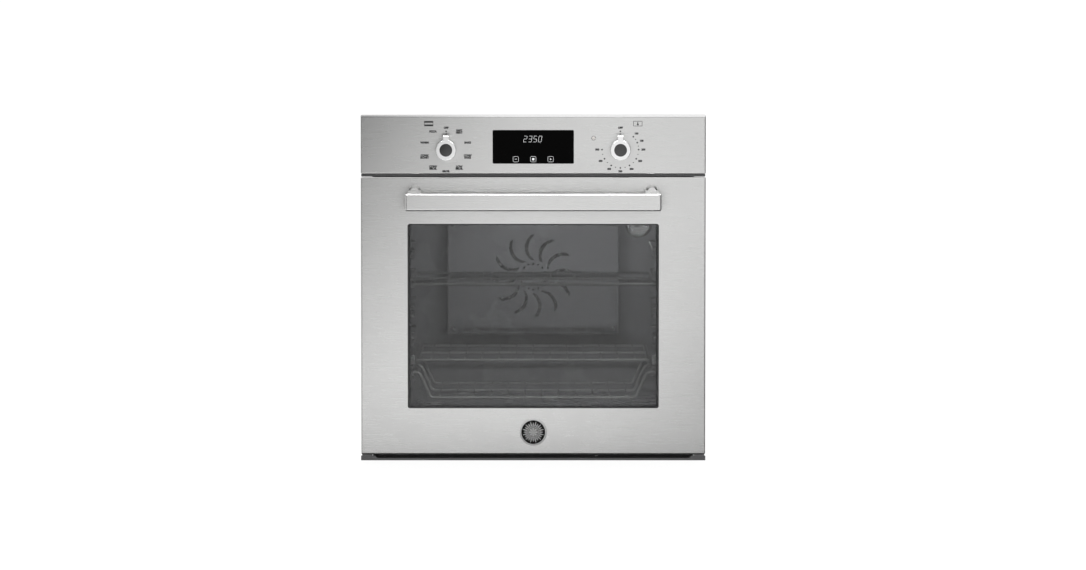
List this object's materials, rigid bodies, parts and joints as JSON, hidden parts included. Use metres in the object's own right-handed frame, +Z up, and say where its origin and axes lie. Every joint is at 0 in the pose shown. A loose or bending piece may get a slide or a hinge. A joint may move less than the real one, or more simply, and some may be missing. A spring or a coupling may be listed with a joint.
{
  "type": "wall oven",
  "caption": "Built-in electric wall oven with a drop-down glass door, bar handle, flag-pointer knobs, clock display, convection fan, wire racks and telescopic rails.",
  "frame": {"origin": "middle of the overall box on the plane that the oven stands on", "axes": "+X right seen from the front, +Y to the back, so the door faces -Y, +Z up"},
  "size_m": [0.595, 0.638, 0.597],
  "materials": {
    "front_steel": "satin, brushed along X",
    "knob_chrome": "polished",
    "cap_dark": "satin dark",
    "black_glass": "gloss black",
    "tinted_glass": "grey tinted, toughened",
    "clear_glass": "clear, toughened",
    "galvanised": "galvanised sheet",
    "enamel": "glossy vitreous enamel",
    "dark_trim": "satin dark grey",
    "wire_chrome": "bright wire",
    "element_metal": "heat-darkened",
    "motor_metal": "laminated iron and zinc",
    "plain_steel": "machined",
    "wool": "mineral wool, matt",
    "silicone": "matt",
    "board": "circuit board",
    "switch_plastic": "moulded",
    "gland_plastic": "moulded",
    "pilot": "translucent lens",
    "badge_metal": "dark with a bright rim"
  },
  "bodies": {
    "cabinet": {"base_pan": "galvanised", "side_panel_left": "galvanised", "side_panel_right": "galvanised", "top_cover": "galvanised", "rear_cover": "galvanised", "service_deck": "galvanised", "casing_screws": "plain_steel", "front_frame": "enamel", "vent_trim": "dark_trim", "door_gasket": "silicone", "cavity_liner": "enamel", "insulation_blanket": "wool", "fan_baffle": "enamel", "convection_motor": "motor_metal", "ring_element": "element_metal", "broil_element": "element_metal", "bake_element": "element_metal", "lamp_lens": "clear_glass", "lamp_holder": "plain_steel", "temperature_probe": "plain_steel", "side_rack_left": "wire_chrome", "side_rack_right": "wire_chrome", "outer_rails": "wire_chrome", "blower_housing": "galvanised", "blower_motor": "motor_metal", "control_fascia": "front_steel", "control_bracket": "galvanised", "display_glass": "black_glass", "display_board": "board", "function_switch": "switch_plastic", "thermostat": "switch_plastic", "pilot_lens": "pilot", "relay_board": "board", "terminal_block": "switch_plastic", "cable_gland": "gland_plastic", "hinge_claws": "plain_steel", "hinge_receivers": "galvanised"},
    "door": {"door_skin": "front_steel", "outer_glass": "tinted_glass", "middle_glass": "clear_glass", "inner_glass": "clear_glass", "door_frame": "enamel", "door_top_cap": "dark_trim", "handle_bar": "front_steel", "handle_brackets": "front_steel", "badge": "badge_metal", "hinge_channels": "galvanised", "hinge_springs": "plain_steel"},
    "convection_fan": {"convection_fan": "plain_steel"},
    "cooling_rotor": {"cooling_rotor": "plain_steel"},
    "function_knob": {"function_knob": "knob_chrome", "function_knob_cap": "cap_dark", "function_shaft": "plain_steel"},
    "temperature_knob": {"temperature_knob": "knob_chrome", "temperature_knob_cap": "cap_dark", "temperature_shaft": "plain_steel"},
    "sliding_shelf": {"wire_shelf": "wire_chrome", "slide_rails": "wire_chrome"},
    "drop_rack": {"drop_rack": "wire_chrome"},
    "broil_rack": {"broil_rack": "wire_chrome"}
  },
  "joints": [
    {"name": "door_hinge", "type": "hinge", "parent": "cabinet", "child": "door", "pos_m": [0, -0.243, 0.0233], "axis": [1, 0, 0], "range_deg": [0, 90], "stiffness_Nm_per_rad": 12.7, "springref_deg": -18.05},
    {"name": "convection_fan_spin", "type": "hinge", "parent": "cabinet", "child": "convection_fan", "pos_m": [0, 0.18, 0.292], "axis": [0, 1, 0], "continuous": true},
    {"name": "cooling_rotor_spin", "type": "hinge", "parent": "cabinet", "child": "cooling_rotor", "pos_m": [0, -0.024, 0.4977], "axis": [1, 0, 0], "continuous": true},
    {"name": "function_knob_turn", "type": "hinge", "parent": "cabinet", "child": "function_knob", "pos_m": [-0.15, -0.257, 0.5372], "axis": [0, 1, 0], "continuous": true},
    {"name": "temperature_knob_turn", "type": "hinge", "parent": "cabinet", "child": "temperature_knob", "pos_m": [0.15, -0.257, 0.5372], "axis": [0, 1, 0], "range_deg": [0, 270]},
    {"name": "sliding_shelf_slide", "type": "slide", "parent": "cabinet", "child": "sliding_shelf", "axis": [0, -1, 0], "range_m": [0, 0.24]},
    {"name": "drop_rack_slide", "type": "slide", "parent": "cabinet", "child": "drop_rack", "axis": [0, -1, 0], "range_m": [0, 0.16]},
    {"name": "broil_rack_slide", "type": "slide", "parent": "cabinet", "child": "broil_rack", "axis": [0, -1, 0], "range_m": [0, 0.21]}
  ],
  "couplings": [
    {"joint": "sliding_shelf_slide", "follows": "door_hinge", "m_per_rad": 0.15},
    {"joint": "drop_rack_slide", "follows": "door_hinge", "m_per_rad": 0.1},
    {"joint": "broil_rack_slide", "follows": "door_hinge", "m_per_rad": 0.13}
  ]
}
